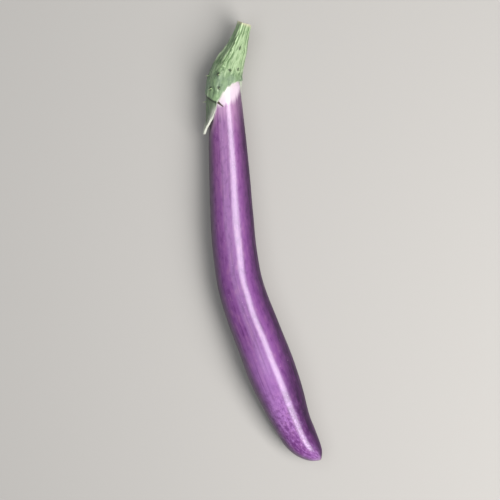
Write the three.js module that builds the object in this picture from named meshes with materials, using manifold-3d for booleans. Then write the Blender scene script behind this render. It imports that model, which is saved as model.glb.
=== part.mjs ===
// A long, slender purple eggplant as picked, lying on its belly on a flat surface.
//
// It has two pieces: the fruit, and the green growth on its neck. The green one is a calyx with
// five pointed sepals and a few prickles, which runs up into the cut stalk with no seam.
//
// Units are millimetres and +Z is up. +Y runs along the straight line from the blossom tip to the
// stalk's cut end, and +X is the inside of the bow. The origin is on the resting surface, below
// the middle of the plant's bounding box.
//
// Every place on the plant is a distance s along its spine and an angle phi round it. s is 0 at
// the fruit's shoulder under the calyx, negative up the stalk, and FRUIT_LENGTH at the tip.
// phi is 0 towards +X and 90 degrees on top.
import * as THREE from "three";
import { mergeVertices } from "three/addons/utils/BufferGeometryUtils.js";
import Module from "manifold-3d";

const wasm = await Module();
wasm.setup();

// Fruit
const FRUIT_LENGTH = 264; // along the spine
const NECK_RADIUS = 8.8; // under the calyx
const BELLY_RADIUS = 15.8; // at the fattest place
const SHOULDER_ROUND = 14; // length of the rounded shoulder
const TIP_ROUND = 23; // length of the rounded tip
const NUB_HEIGHT = 0.9; // dry scar where the blossom fell off
const NUB_RADIUS = 1.7;
const BELLY_START = 80; // the belly lies flat from here
const BELLY_END = 218; // to here
const REST_SINK = 0.5; // how deep it is pressed flat
const NECK_LIFT = 7.4; // the neck rises by this much towards the stalk's cut end
const TIP_LIFT = 2; // and the tip by this much

// Stalk and calyx
const STALK_TOP = -29; // the cut end
const CROWN_TOP = -12; // where the stalk widens into the calyx
const PARTING = 7; // where the sepals part
const CROWN_BASE = 12; // where the crown comes to lie on the fruit's skin
const STALK_RADIUS = 4.2; // at the cut end
const CROWN_RADIUS = 6.8; // at CROWN_TOP
const STALK_FLARE = 1.6; // how late the stalk widens: 1 is evenly
const CROWN_FLARE = 1.15; // and the crown
const SKIN_GAP = 0.3; // clearance between the calyx and the fruit
const SEPAL_THICK = 1; // at the base of a sepal
const EDGE_THICK = 0.8; // at its margin
const THINS_ABOVE = 4; // a sepal starts to thin this far above PARTING
const THINS_BELOW = 2; // and is thin at the soonest this far below it
const RIB_HEIGHT = 0.6; // midribs of the sepals, which run up the stalk as ridges
const RIB_WIDTH = 13; // half their width, in degrees
const RIB_FADE = 18; // they fade over this length before a sepal's tip
const CURL_SHARE = 0.6; // the share of a sepal's width that curls
const CUT_DISH = 0.5; // the pith is sunk by this much in the cut end
const PRICKLE_LENGTH = 2.2;
const PRICKLE_RADIUS = 1;
const PRICKLE_ROOT = 1; // depth of its root in the calyx
const PRICKLE_LEAN = 0.35; // slope towards the blossom tip
const PRICKLE_SIDES = 5;

// Mesh fineness
const FRUIT_RINGS = 66;
const FRUIT_SIDES = 32;
const FRUIT_CROWDING = 0.85; // how much its rings crowd towards both ends, below 1
const SPINE_STEP = 0.5; // the spine's direction is taken over this distance either way
const CALYX_OUTER_RINGS = 13;
const CALYX_INNER_RINGS = 11;
const STALK_RINGS = 6;
const GREEN_SIDES = 72;

// The spine seen from above: s, x and y.
const SPINE = [
  [-29, 0, 283],
  [-14, -7, 269.5],
  [-2, -13.9, 259.3],
  [6, -17.6, 252.3],
  [14.5, -19.7, 244.5],
  [26, -21.2, 233],
  [65, -25.6, 194.5],
  [95, -28.9, 165],
  [129, -31.2, 131],
  [152, -29.4, 108.5],
  [170, -26, 90.5],
  [208, -18.5, 52.5],
  [233, -13.8, 28],
  [248, -8.7, 13.7],
  [264, 0.3, 0],
];

// The fruit's radius between its rounded ends: s and radius.
const BODY = [
  [0, NECK_RADIUS],
  [30, 10.8],
  [62, 12.5],
  [95, 13.6],
  [130, 14.3],
  [190, BELLY_RADIUS],
  [208, 15.2],
  [236, 12.3],
  [FRUIT_LENGTH, 9.8],
];

// The fruit is a little out of round: each wave's share of the radius, its count round the fruit,
// and how far along the spine it turns by one radian.
const WAVES = [
  { share: 0.01, lobes: 2, length: 70 },
  { share: 0.007, lobes: 3, length: -45 },
  { share: 0.004, lobes: 5, length: 30 },
];

// The five sepals: angle and s of the tip, and how far it curls off the skin. On the side of
// smaller phi (before) and of larger phi (after), the half width at the base in degrees, and the
// shape of the margin: 1 is straight, less is full and more is hollow.
const SEPALS = [
  { phi: 110, tip: 21.5, curl: 0.3, before: { half: 96, shape: 2.2 }, after: { half: 50, shape: 1 } },
  { phi: 163, tip: 41, curl: 1.8, before: { half: 60, shape: 0.43 }, after: { half: 62, shape: 0.8 } },
  { phi: 219, tip: 32, curl: 0.3, before: { half: 42, shape: 0.8 }, after: { half: 40, shape: 0.8 } },
  { phi: 268, tip: 36, curl: 0.3, before: { half: 42, shape: 0.8 }, after: { half: 42, shape: 0.8 } },
  { phi: 314, tip: 29, curl: 0.3, before: { half: 38, shape: 0.9 }, after: { half: 34, shape: 1.1 } },
];

// The prickles: s, and degrees round from the midrib of the sepal with that number.
const PRICKLES = [
  { sepal: 0, s: 5, off: -2 },
  { sepal: 0, s: 13, off: -9 },
  { sepal: 0, s: 13.5, off: 20 },
  { sepal: 0, s: 0.5, off: -37 },
  { sepal: 0, s: -2, off: -70 },
  { sepal: 0, s: -14, off: -44 },
  { sepal: 1, s: 7, off: -4 },
  { sepal: 1, s: 21, off: 6 },
  { sepal: 2, s: 9, off: 3 },
  { sepal: 3, s: 2, off: -4 },
  { sepal: 4, s: 12, off: 2 },
];

const radians = THREE.MathUtils.degToRad;
const smoothstep = THREE.MathUtils.smoothstep;
const clamp = THREE.MathUtils.clamp;

// The value at t of a smooth curve through rows of [t, value, ...], for one column of the rows.
function through(rows, column, t) {
  const last = rows.length - 1;
  const slope = (k) => {
    const before = rows[Math.max(k - 1, 0)];
    const after = rows[Math.min(k + 1, last)];
    return (after[column] - before[column]) / (after[0] - before[0]);
  };
  let i = 0;
  while (i < last - 1 && t > rows[i + 1][0]) i++;
  const span = rows[i + 1][0] - rows[i][0];
  const u = (t - rows[i][0]) / span;
  return (
    rows[i][column] * (1 + 2 * u) * (1 - u) ** 2 +
    slope(i) * span * u * (1 - u) ** 2 +
    rows[i + 1][column] * u ** 2 * (3 - 2 * u) +
    slope(i + 1) * span * u ** 2 * (u - 1)
  );
}

// The spine's height: the belly lies flat, while the neck and the tip lift a little.
function spineHeight(s) {
  const body = through(BODY, 1, clamp(s, 0, FRUIT_LENGTH));
  const neck = NECK_LIFT * (1 - smoothstep(s, STALK_TOP, BELLY_START));
  const tip = TIP_LIFT * smoothstep(s, BELLY_END, FRUIT_LENGTH);
  return body - REST_SINK + neck + tip;
}

function spinePoint(s) {
  return new THREE.Vector3(through(SPINE, 1, s), through(SPINE, 2, s), spineHeight(s));
}

// The spine's point at s, its direction towards the tip, and the level and upward directions
// square to it.
function spineFrame(s) {
  const along = spinePoint(s + SPINE_STEP).sub(spinePoint(s - SPINE_STEP)).normalize();
  const side = new THREE.Vector3(0, 0, 1).cross(along).normalize();
  const up = along.clone().cross(side);
  return { centre: spinePoint(s), along, side, up };
}

// The point at s, phi (in radians) and a distance from the spine.
function place(s, phi, radius) {
  const { centre, side, up } = spineFrame(s);
  return centre
    .addScaledVector(side, radius * Math.cos(phi))
    .addScaledVector(up, radius * Math.sin(phi));
}

// An elliptical end: 1 where t is 0 or less, and 0 where t is 1.
const rounded = (t) => Math.sqrt(1 - clamp(t, 0, 1) ** 2);

// The fruit's radius, or that of a skin at some distance outside it.
function skinRadius(s, phi, outside = 0) {
  const body = through(BODY, 1, clamp(s, 0, FRUIT_LENGTH)) + outside;
  const shoulder = rounded((SHOULDER_ROUND - s) / (SHOULDER_ROUND + outside));
  const tip = rounded((s - FRUIT_LENGTH + TIP_ROUND) / (TIP_ROUND + outside));
  const waves = WAVES.map(({ share, lobes, length }) => share * Math.cos(lobes * phi + s / length));
  const outOfRound = waves.reduce((sum, wave) => sum + wave, 1);
  return body * shoulder * tip * outOfRound;
}

// The angle from a sepal's midrib to phi, in degrees from -180 to 180.
const fromMidrib = (sepal, phi) =>
  THREE.MathUtils.euclideanModulo(THREE.MathUtils.radToDeg(phi) - sepal.phi + 180, 360) - 180;

// How near phi is to a sepal's midrib: 1 on it, and 0 at that share of its half width or beyond.
function nearMidrib(sepal, phi, share = 1) {
  const offset = fromMidrib(sepal, phi);
  const { half } = offset < 0 ? sepal.before : sepal.after;
  return clamp(1 - Math.abs(offset) / (half * share), 0, 1);
}

// How far down the fruit a sepal reaches at phi.
function sepalReach(sepal, phi) {
  const { shape } = fromMidrib(sepal, phi) < 0 ? sepal.before : sepal.after;
  return PARTING + (sepal.tip - PARTING) * nearMidrib(sepal, phi) ** shape;
}

const calyxMargin = (phi) => Math.max(...SEPALS.map((sepal) => sepalReach(sepal, phi)));

// How far the calyx stands off the skin: only the tips of the sepals curl away.
function curlAt(s, phi) {
  const curls = SEPALS.map((sepal) => {
    const along = clamp((s - PARTING) / (sepal.tip - PARTING), 0, 1);
    return sepal.curl * Math.sqrt(nearMidrib(sepal, phi, CURL_SHARE)) * along ** 3;
  });
  return Math.max(...curls);
}

// The height of the ribs, which follow the midribs and fade towards the tips.
function ribAt(s, phi) {
  const ribs = SEPALS.map((sepal) => {
    const fade = 1 - smoothstep(s, sepal.tip - RIB_FADE, sepal.tip);
    return fade * Math.exp(-((fromMidrib(sepal, phi) / RIB_WIDTH) ** 2));
  });
  return RIB_HEIGHT * ribs.reduce((sum, rib) => sum + rib, 0);
}

// The outer radius of the stalk and of the calyx, which flares down onto the fruit.
function greenRadius(s, phi) {
  const stalk = THREE.MathUtils.lerp(
    STALK_RADIUS,
    CROWN_RADIUS,
    clamp((s - STALK_TOP) / (CROWN_TOP - STALK_TOP), 0, 1) ** STALK_FLARE,
  );
  const thick = THREE.MathUtils.lerp(
    SEPAL_THICK,
    EDGE_THICK,
    smoothstep(s, PARTING - THINS_ABOVE, Math.max(calyxMargin(phi), PARTING + THINS_BELOW)),
  );
  const cap = skinRadius(Math.max(s, CROWN_BASE), phi, SKIN_GAP + thick) + curlAt(s, phi);
  const flare = Math.sin((Math.PI / 2) * clamp((s - CROWN_TOP) / (CROWN_BASE - CROWN_TOP), 0, 1));
  return THREE.MathUtils.lerp(stalk, cap, flare ** CROWN_FLARE) + ribAt(s, phi);
}

// Some even steps from 0 up to, but not including, 1.
const steps = (count) => Array.from({ length: count }, (_, k) => k / count);

// A closed skin of rings. Each ring is a function from phi to a place on it, and the first and
// the last are single points.
function closedSkin(rings, sides) {
  const last = rings.length - 1;
  const positions = [...rings[0](0).toArray()];
  const index = [];
  for (let ring = 1; ring < last; ring++) {
    for (let side = 0; side < sides; side++) {
      positions.push(...rings[ring]((2 * Math.PI * side) / sides).toArray());
    }
  }
  const end = positions.length / 3;
  positions.push(...rings[last](0).toArray());
  const at = (ring, side) => 1 + (ring - 1) * sides + (side % sides);
  for (let side = 0; side < sides; side++) {
    index.push(0, at(1, side + 1), at(1, side));
    for (let ring = 1; ring < last - 1; ring++) {
      const [a, b] = [at(ring, side), at(ring, side + 1)];
      const [c, d] = [at(ring + 1, side), at(ring + 1, side + 1)];
      index.push(a, b, c, b, d, c);
    }
    index.push(at(last - 1, side), at(last - 1, side + 1), end);
  }
  const geometry = new THREE.BufferGeometry();
  geometry.setAttribute("position", new THREE.Float32BufferAttribute(positions, 3));
  geometry.setIndex(index);
  return geometry;
}

// The fruit: rings crowd together towards both rounded ends, and the belly is pressed flat.
function fruitGeometry() {
  const ringAt = (t) => (phi) => {
    const s = FRUIT_LENGTH * (t - (FRUIT_CROWDING * Math.sin(2 * Math.PI * t)) / (2 * Math.PI));
    const radius = t === 0 || t === 1 ? 0 : skinRadius(s, phi);
    const point = place(s, phi, radius);
    if (s > FRUIT_LENGTH - NUB_HEIGHT) {
      const nub = NUB_HEIGHT * Math.exp(-((radius / NUB_RADIUS) ** 2));
      point.addScaledVector(spineFrame(s).along, nub);
    }
    point.z = Math.max(point.z, 0);
    return point;
  };
  return closedSkin([...steps(FRUIT_RINGS), 1].map(ringAt), FRUIT_SIDES);
}

// The s that lies a given distance down the skin from the top of the shoulder, and the distance
// to a given s.
const SHOULDER_CURVE = (SHOULDER_ROUND + NECK_RADIUS) / 2;
const SHOULDER_DISTANCE = (SHOULDER_CURVE * Math.PI) / 2;

function downTheSkin(distance) {
  const beyond = Math.max(distance - SHOULDER_DISTANCE, 0);
  const turn = Math.min(distance, SHOULDER_DISTANCE) / SHOULDER_CURVE;
  return SHOULDER_ROUND * (1 - Math.cos(turn)) + beyond;
}

function skinDistance(s) {
  const beyond = Math.max(s - SHOULDER_ROUND, 0);
  return SHOULDER_CURVE * Math.acos(1 - Math.min(s, SHOULDER_ROUND) / SHOULDER_ROUND) + beyond;
}

// The calyx and the stalk: from the sunken pith over the blunt rim of the cut end, down the
// stalk and the outside of the sepals to their margin, then back up inside.
function greenGeometry() {
  const cutEnd = [
    { inset: 1, sink: CUT_DISH },
    { inset: 0.72, sink: CUT_DISH },
    { inset: 0.62, sink: 0 },
    { inset: 0.08, sink: 0 },
  ];
  const onOutside = (s, phi) => place(s, phi, greenRadius(s, phi));
  const apex = -SKIN_GAP;
  const rings = [
    ...cutEnd.map(({ inset, sink }) => (phi) => {
      return place(STALK_TOP + sink, phi, greenRadius(STALK_TOP, phi) * (1 - inset));
    }),
    ...steps(STALK_RINGS).map((t) => (phi) => {
      return onOutside(THREE.MathUtils.lerp(STALK_TOP + CUT_DISH, CROWN_TOP, t), phi);
    }),
    ...steps(CALYX_OUTER_RINGS).map((t) => (phi) => {
      return onOutside(THREE.MathUtils.lerp(CROWN_TOP, calyxMargin(phi), t), phi);
    }),
    (phi) => onOutside(calyxMargin(phi), phi),
    ...steps(CALYX_INNER_RINGS).map((t) => (phi) => {
      const s = downTheSkin(skinDistance(calyxMargin(phi)) * (1 - t));
      return place(s, phi, skinRadius(s, phi, SKIN_GAP) + curlAt(s, phi));
    }),
    () => place(apex, 0, 0),
  ];
  let solid = solidOf(closedSkin(rings, GREEN_SIDES));
  for (const prickle of PRICKLES) solid = solid.add(solidOf(prickleGeometry(prickle)));
  return geometryOf(solid);
}

// A prickle: a small cone that stands out of the calyx and leans a little towards the tip.
function prickleGeometry({ sepal, s, off }) {
  const phi = radians(SEPALS[sepal].phi + off);
  const foot = place(s, phi, greenRadius(s, phi) - PRICKLE_ROOT);
  const outward = place(s, phi, 1).sub(place(s, phi, 0));
  const direction = outward.addScaledVector(spineFrame(s).along, PRICKLE_LEAN).normalize();
  const length = PRICKLE_LENGTH + PRICKLE_ROOT;
  const cone = new THREE.ConeGeometry(PRICKLE_RADIUS, length, PRICKLE_SIDES);
  cone.translate(0, length / 2, 0);
  cone.applyQuaternion(
    new THREE.Quaternion().setFromUnitVectors(new THREE.Vector3(0, 1, 0), direction),
  );
  return cone.translate(...foot.toArray());
}

// A closed geometry as a solid that can be joined to others.
function solidOf(geometry) {
  const bare = geometry.clone();
  bare.deleteAttribute("normal");
  bare.deleteAttribute("uv");
  const merged = mergeVertices(bare);
  return new wasm.Manifold(
    new wasm.Mesh({
      numProp: 3,
      vertProperties: merged.attributes.position.array,
      triVerts: new Uint32Array(merged.index.array),
    }),
  );
}

function geometryOf(solid) {
  const mesh = solid.getMesh();
  const geometry = new THREE.BufferGeometry();
  geometry.setAttribute("position", new THREE.BufferAttribute(mesh.vertProperties, 3));
  geometry.setIndex(new THREE.BufferAttribute(mesh.triVerts, 1));
  return geometry;
}

const PURPLE_SKIN = new THREE.MeshStandardMaterial({ color: "#8c4f92", roughness: 0.3 });
const CALYX_GREEN = new THREE.MeshStandardMaterial({ color: "#8ba87c", roughness: 0.6 });

function piece(name, geometry, material) {
  const mesh = new THREE.Mesh(geometry, material);
  mesh.name = name;
  geometry.computeVertexNormals();
  return mesh;
}

const eggplant = new THREE.Group();
eggplant.add(
  piece("fruit", fruitGeometry(), PURPLE_SKIN),
  piece("calyx_and_stalk", greenGeometry(), CALYX_GREEN),
);

// The middle of the bounding box goes over the origin, and the belly stays on the surface.
const middle = new THREE.Box3().setFromObject(eggplant).getCenter(new THREE.Vector3());
eggplant.position.set(-middle.x, -middle.y, 0);

export default eggplant;
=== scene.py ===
"""A long, slender purple eggplant, as picked, lying on its belly on a pale studio floor.

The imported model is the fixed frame. The fruit, the green calyx with its stalk, the prickles and
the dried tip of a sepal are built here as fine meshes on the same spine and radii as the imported
solids. Lengths are millimetres, but metres in the studio and in Blender's own objects.

Every place on the plant is a distance s along its spine and an angle phi round it. s is 0 at the
fruit's shoulder under the calyx, negative up the stalk, and FRUIT_LENGTH at the blossom tip. phi
is 0 towards +X and 90 degrees on top.
"""

import logging
import math
from collections.abc import Sequence
from dataclasses import dataclass, field
from enum import Enum
from typing import Any

import bpy
import numpy as np
from mathutils import Matrix, Vector

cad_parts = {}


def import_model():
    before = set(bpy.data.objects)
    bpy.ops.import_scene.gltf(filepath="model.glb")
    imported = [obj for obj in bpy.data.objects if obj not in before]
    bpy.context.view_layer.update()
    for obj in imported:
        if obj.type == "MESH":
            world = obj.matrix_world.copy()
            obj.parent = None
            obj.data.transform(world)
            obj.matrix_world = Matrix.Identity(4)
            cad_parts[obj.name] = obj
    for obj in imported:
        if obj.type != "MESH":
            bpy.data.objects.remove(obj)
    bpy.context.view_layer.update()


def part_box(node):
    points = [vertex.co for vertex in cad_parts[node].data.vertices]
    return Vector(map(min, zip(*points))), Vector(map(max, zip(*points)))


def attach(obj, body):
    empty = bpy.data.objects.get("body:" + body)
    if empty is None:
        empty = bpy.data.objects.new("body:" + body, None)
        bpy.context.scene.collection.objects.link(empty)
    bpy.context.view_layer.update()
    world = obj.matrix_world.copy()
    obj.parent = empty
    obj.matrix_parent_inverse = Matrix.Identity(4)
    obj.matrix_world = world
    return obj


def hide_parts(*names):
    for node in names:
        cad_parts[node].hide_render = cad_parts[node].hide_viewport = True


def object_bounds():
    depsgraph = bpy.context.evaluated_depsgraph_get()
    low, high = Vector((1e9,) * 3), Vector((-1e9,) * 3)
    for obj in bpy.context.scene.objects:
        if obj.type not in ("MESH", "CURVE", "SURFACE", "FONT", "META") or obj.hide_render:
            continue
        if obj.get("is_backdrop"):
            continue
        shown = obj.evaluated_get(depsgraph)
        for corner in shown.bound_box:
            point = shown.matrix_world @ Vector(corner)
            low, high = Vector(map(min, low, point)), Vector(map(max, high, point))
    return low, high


log = logging.getLogger("eggplant")

MM = 0.001
BODY = "root"

FRUIT_LENGTH = 264.0
STALK_TOP = -29.0  # the cut end
CROWN_TOP = -12.0  # where the stalk widens into the calyx
PARTING = 7.0  # where the sepals part
CROWN_BASE = 12.0  # where the crown comes to lie on the fruit's skin
SKIN_GAP = 0.3  # between the calyx and the fruit


class CadNode(Enum):
    """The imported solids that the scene's pieces stand for."""

    FRUIT = "fruit"
    GREEN = "calyx_and_stalk"


class Slot(Enum):
    """The record's material slots."""

    FRUIT_SKIN = "fruit_skin"
    CALYX_GREEN = "calyx_green"


def smoothstep(value: Any, low: Any, high: Any) -> np.ndarray:
    """A smooth step of value from 0 at low to 1 at high."""
    t = np.clip((np.asarray(value, float) - low) / (high - low), 0.0, 1.0)
    return t * t * (3 - 2 * t)


def lerp(a: Any, b: Any, t: Any) -> Any:
    """The value a share t of the way from a to b."""
    return a + (b - a) * t


@dataclass(frozen=True)
class Span:
    """A stretch with soft ends: it rises from 0 to 1, stays there, and falls back to 0."""

    rise_from: float
    rise_to: float
    fall_from: float
    fall_to: float

    def at(self, value: np.ndarray) -> np.ndarray:
        """The share of the stretch at value."""
        risen = smoothstep(value, self.rise_from, self.rise_to)
        return risen * (1 - smoothstep(value, self.fall_from, self.fall_to))


def through(rows: np.ndarray, column: int, t: np.ndarray) -> np.ndarray:
    """A smooth curve through rows of (t, value, ...).

    Args:
        rows: The rows, in order of their first column.
        column: The column that holds the values.
        t: Where the curve is wanted.

    Returns:
        The curve's value at each t.
    """
    knots, values = rows[:, 0], rows[:, column]
    after = np.minimum(np.arange(len(rows)) + 1, len(rows) - 1)
    before = np.maximum(np.arange(len(rows)) - 1, 0)
    slopes = (values[after] - values[before]) / (knots[after] - knots[before])
    i = np.clip(np.searchsorted(knots, t) - 1, 0, len(rows) - 2)
    span = knots[i + 1] - knots[i]
    u = (t - knots[i]) / span
    return (
        values[i] * (1 + 2 * u) * (1 - u) ** 2
        + slopes[i] * span * u * (1 - u) ** 2
        + values[i + 1] * u**2 * (3 - 2 * u)
        + slopes[i + 1] * span * u**2 * (u - 1)
    )


@dataclass(frozen=True)
class Unevenness:
    """The gentle, random swelling of a grown skin: seeded waves that close round it.

    Waves run from longest to shortest along the spine, with up to most_lobes round it.
    """

    seed: int
    height: float
    longest: float
    shortest: float
    most_lobes: int
    waves: int = 24

    def at(self, s: np.ndarray, phi: np.ndarray) -> np.ndarray:
        """The height above the mean skin, in millimetres.

        Args:
            s: Distances along the spine.
            phi: Angles round it, in radians.

        Returns:
            The height at each place.
        """
        random = np.random.default_rng(self.seed)
        total = np.zeros(np.broadcast(s, phi).shape)
        for _ in range(self.waves):
            length = self.shortest * (self.longest / self.shortest) ** random.random()
            lobes = int(random.integers(0, self.most_lobes + 1))
            turn = 2 * math.pi * random.random()
            sign = 1 if random.random() < 0.5 else -1
            share = math.sqrt(length / self.longest)
            total += share * np.cos(2 * math.pi * sign * s / length + lobes * phi + turn)
        return self.height * total / math.sqrt(self.waves)


@dataclass(frozen=True)
class Spine:
    """The curve that the whole plant grows along.

    path holds rows of s, x and y, before main moves the plant onto its frame.
    """

    path: tuple[tuple[float, float, float], ...] = (
        (STALK_TOP, 0, 283),
        (-14, -7, 269.5),
        (-2, -13.9, 259.3),
        (6, -17.6, 252.3),
        (14.5, -19.7, 244.5),
        (26, -21.2, 233),
        (65, -25.6, 194.5),
        (95, -28.9, 165),
        (129, -31.2, 131),
        (152, -29.4, 108.5),
        (170, -26, 90.5),
        (208, -18.5, 52.5),
        (233, -13.8, 28),
        (248, -8.7, 13.7),
        (FRUIT_LENGTH, 0.3, 0),
    )
    neck_lift: float = 7.4
    tip_lift: float = 2.0
    belly_start: float = 80.0
    belly_end: float = 218.0
    rest_sink: float = 0.5
    step: float = 0.5

    def height(self, s: np.ndarray, body: np.ndarray) -> np.ndarray:
        """The spine's height over the floor.

        Args:
            s: Distances along the spine.
            body: The fruit's radius there.

        Returns:
            The height at each place.
        """
        neck = self.neck_lift * (1 - smoothstep(s, STALK_TOP, self.belly_start))
        tip = self.tip_lift * smoothstep(s, self.belly_end, FRUIT_LENGTH)
        return body - self.rest_sink + neck + tip


@dataclass(frozen=True)
class FruitForm:
    """The fruit's skin as a formula: its spine, its radius and its rounded ends.

    radii holds rows of s and radius. waves makes the fruit a little out of round: each wave's
    share of the radius, its count round the fruit, and how far along the spine it turns by one
    radian.
    """

    spine: Spine = field(default_factory=Spine)
    radii: tuple[tuple[float, float], ...] = (
        (0, 8.8),
        (30, 10.8),
        (62, 12.5),
        (95, 13.6),
        (130, 14.3),
        (190, 15.8),
        (208, 15.2),
        (236, 12.3),
        (FRUIT_LENGTH, 9.8),
    )
    shoulder_round: float = 14.0
    tip_round: float = 23.0
    waves: tuple[tuple[float, int, float], ...] = ((0.01, 2, 70), (0.007, 3, -45), (0.004, 5, 30))

    def body(self, s: np.ndarray) -> np.ndarray:
        """The fruit's radius between its rounded ends."""
        rows = np.array(self.radii, float)
        return through(rows, 1, np.clip(s, 0, FRUIT_LENGTH))

    def point(self, s: np.ndarray) -> np.ndarray:
        """The spine's points.

        Args:
            s: Distances along the spine.

        Returns:
            One point for each distance, in millimetres.
        """
        rows = np.array(self.spine.path, float)
        height = self.spine.height(s, self.body(s))
        return np.stack([through(rows, 1, s), through(rows, 2, s), height], axis=-1)

    def frame(self, s: np.ndarray) -> tuple[np.ndarray, np.ndarray, np.ndarray, np.ndarray]:
        """The spine's frame at s.

        Args:
            s: Distances along the spine.

        Returns:
            The point, the direction towards the tip, the level direction square to it and the
            upward one.
        """
        step = self.spine.step
        along = self.point(s + step) - self.point(s - step)
        along /= np.linalg.norm(along, axis=-1, keepdims=True)
        side = np.cross(np.array([0.0, 0.0, 1.0]), along)
        side /= np.linalg.norm(side, axis=-1, keepdims=True)
        return self.point(s), along, side, np.cross(along, side)

    def place(self, s: np.ndarray, phi: np.ndarray, radius: np.ndarray) -> np.ndarray:
        """The points at s, phi and a distance from the spine, in millimetres.

        Args:
            s: Distances along the spine.
            phi: Angles round it, in radians.
            radius: Distances from it.

        Returns:
            One point for each place.
        """
        s, phi, radius = np.broadcast_arrays(s, phi, radius)
        centre, _, side, up = self.frame(s)
        across = (radius * np.cos(phi))[..., None] * side
        return centre + across + (radius * np.sin(phi))[..., None] * up

    def radius(self, s: np.ndarray, phi: np.ndarray, outside: Any = 0.0) -> np.ndarray:
        """The radius of the skin, or of one at some distance outside it.

        Args:
            s: Distances along the spine.
            phi: Angles round it, in radians.
            outside: The distance outside the skin.

        Returns:
            The radius at each place.
        """
        shoulder = (self.shoulder_round - s) / (self.shoulder_round + outside)
        tip = (s - FRUIT_LENGTH + self.tip_round) / (self.tip_round + outside)
        ends = np.sqrt(1 - np.clip(shoulder, 0, 1) ** 2) * np.sqrt(1 - np.clip(tip, 0, 1) ** 2)
        waves = (share * np.cos(lobes * phi + s / length) for share, lobes, length in self.waves)
        out_of_round = sum(waves, start=1.0)
        return (self.body(s) + outside) * ends * out_of_round


@dataclass(frozen=True)
class Sepal:
    """One pointed sepal: where its tip is, how far it curls, and the shape of its two sides.

    On a side, half is its half width at the base in degrees, and shape is 1 for a straight
    margin, less for a full one and more for a hollow one.
    """

    phi: float
    tip: float
    curl: float
    before_half: float
    before_shape: float
    after_half: float
    after_shape: float

    def offset(self, phi: np.ndarray) -> np.ndarray:
        """The angle from the midrib to phi, in degrees from -180 to 180."""
        return (np.degrees(phi) - self.phi + 180) % 360 - 180

    def nearness(self, phi: np.ndarray, share: float = 1.0) -> np.ndarray:
        """How near a place is to the midrib.

        Args:
            phi: Angles round the spine, in radians.
            share: The share of the half width that counts.

        Returns:
            1 on the midrib, and 0 at that share of the half width or beyond.
        """
        offset = self.offset(phi)
        half = np.where(offset < 0, self.before_half, self.after_half) * share
        return np.clip(1 - np.abs(offset) / half, 0, 1)

    def reach(self, phi: np.ndarray) -> np.ndarray:
        """How far down the fruit the sepal reaches at phi."""
        shape = np.where(self.offset(phi) < 0, self.before_shape, self.after_shape)
        return PARTING + (self.tip - PARTING) * self.nearness(phi) ** shape


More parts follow.
